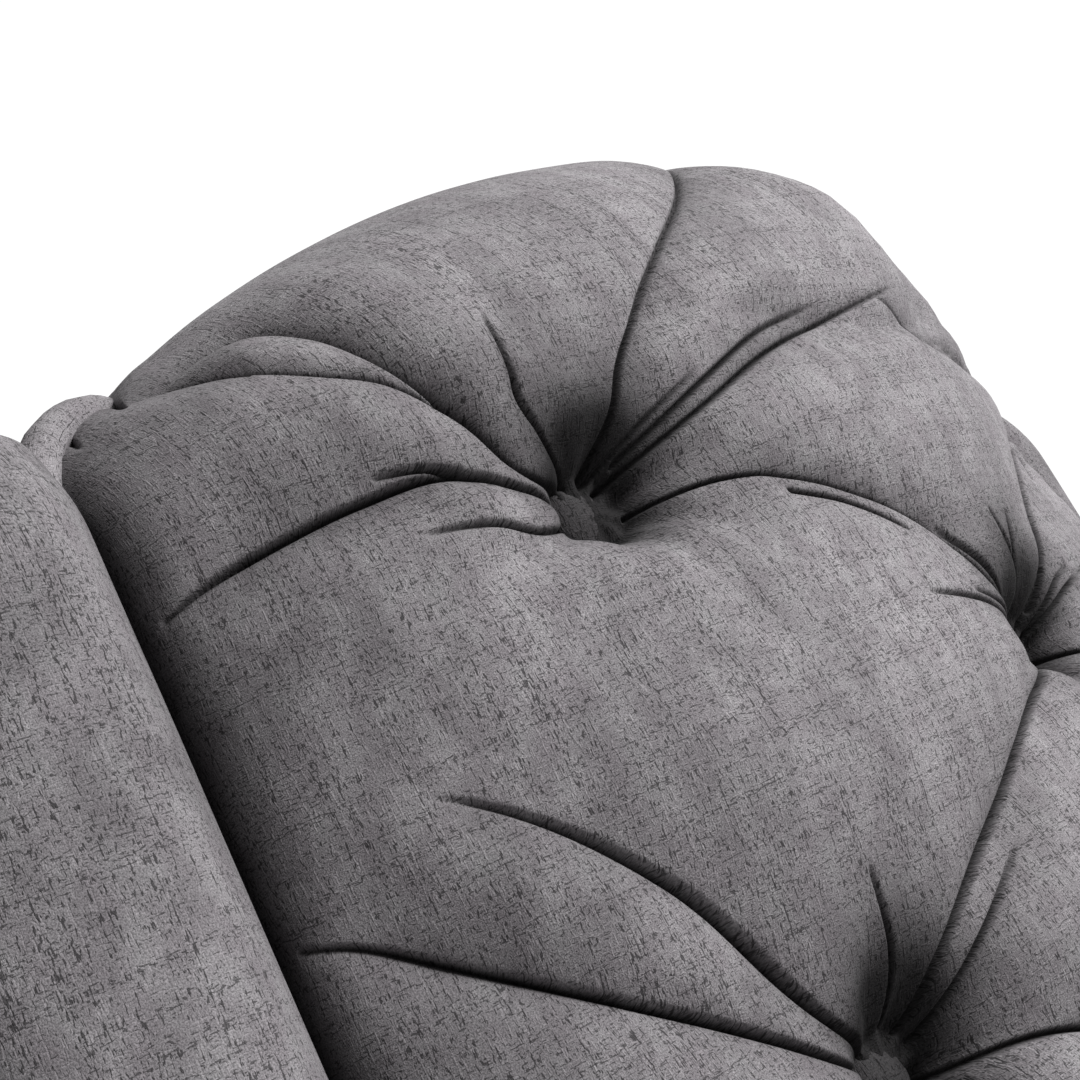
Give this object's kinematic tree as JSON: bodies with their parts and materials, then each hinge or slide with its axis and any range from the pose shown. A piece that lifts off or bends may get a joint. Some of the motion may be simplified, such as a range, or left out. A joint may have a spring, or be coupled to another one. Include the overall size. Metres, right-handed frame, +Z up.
{
  "type": "glider nursery chair",
  "caption": "Upholstered nursery armchair with a deep-buttoned back pillow and side bolsters, gliding on hangers over a low round swivel base",
  "frame": {"origin": "on the floor at the bottom centre of the whole chair", "axes": "X across the chair, Y from front to back so the sitter faces -Y, Z up; X runs to the right as seen from in front"},
  "size_m": [0.84, 0.916, 1.0562],
  "materials": {
    "upholstery": "soft grey slubby linen-look weave",
    "black_steel": "black powder coat",
    "bright_steel": "zinc plated",
    "pad_rubber": "moulded",
    "nylon": "natural nylon",
    "timber": "sawn pine",
    "plywood": "birch ply",
    "dust_cloth": "spun black cambric",
    "twine": "waxed upholstery twine"
  },
  "bodies": {
    "base": {"base_ring": "black_steel", "base_crossbars": "black_steel", "floor_pads": "pad_rubber", "base_plate_bolts": "bright_steel", "swivel_lower_plate": "black_steel", "swivel_kingpin": "bright_steel", "swivel_balls": "bright_steel", "swivel_ball_cage": "nylon"},
    "stage": {"swivel_upper_plate": "black_steel", "stage_cross_tubes": "black_steel", "side_plate_left": "black_steel", "side_plate_right": "black_steel", "upper_pivot_pins": "bright_steel", "glide_stops": "pad_rubber"},
    "front_links": {"front_hanger_left": "black_steel", "front_hanger_right": "black_steel", "front_hanger_bearings": "nylon"},
    "rear_links": {"rear_hanger_left": "black_steel", "rear_hanger_right": "black_steel", "rear_hanger_bearings": "nylon"},
    "seat": {"seat_rail_left": "black_steel", "seat_rail_right": "black_steel", "lower_pivot_pins": "bright_steel", "front_rail": "timber", "rear_rail": "timber", "side_rail_left": "timber", "side_rail_right": "timber", "rail_bearers": "timber", "corner_blocks": "timber", "dust_cover": "dust_cloth", "seat_springs": "bright_steel", "spring_clips": "black_steel", "seat_deck_pad": "upholstery", "seat_cushion": "upholstery", "back_pillow": "upholstery", "tuft_buttons": "upholstery", "tuft_twines": "twine", "back_board": "plywood", "back_stile_left": "timber", "back_stile_right": "timber", "back_top_rail": "timber", "back_waist_rail": "timber", "back_foot_rail": "timber", "outer_back": "upholstery", "back_bolster_left": "upholstery", "back_bolster_right": "upholstery", "arm_inner_pad_left": "upholstery", "arm_inner_pad_right": "upholstery", "arm_outer_skin_left": "upholstery", "arm_outer_skin_right": "upholstery", "arm_panels_left": "plywood", "arm_panels_right": "plywood", "arm_front_pad_left": "upholstery", "arm_front_pad_right": "upholstery", "arm_top_boards": "timber", "arm_top_pad_left": "upholstery", "arm_top_pad_right": "upholstery", "arm_bolts": "bright_steel", "front_apron": "upholstery", "rear_apron": "upholstery"}
  },
  "joints": [
    {"name": "swivel", "type": "hinge", "parent": "base", "child": "stage", "pos_m": [0, -0.06, 0.038], "axis": [0, 0, 1], "continuous": true},
    {"name": "front_swing", "type": "hinge", "parent": "stage", "child": "front_links", "pos_m": [0, -0.175, 0.215], "axis": [1, 0, 0], "range_deg": [-16, 16]},
    {"name": "glide", "type": "hinge", "parent": "front_links", "child": "seat", "pos_m": [0, -0.175, 0.085], "axis": [1, 0, 0], "range_deg": [-16, 16]},
    {"name": "rear_swing", "type": "hinge", "parent": "stage", "child": "rear_links", "pos_m": [0, 0.055, 0.215], "axis": [1, 0, 0], "range_deg": [-16, 16]}
  ],
  "couplings": [
    {"joint": "front_swing", "follows": "glide", "ratio": -1},
    {"joint": "rear_swing", "follows": "glide", "ratio": -1}
  ]
}
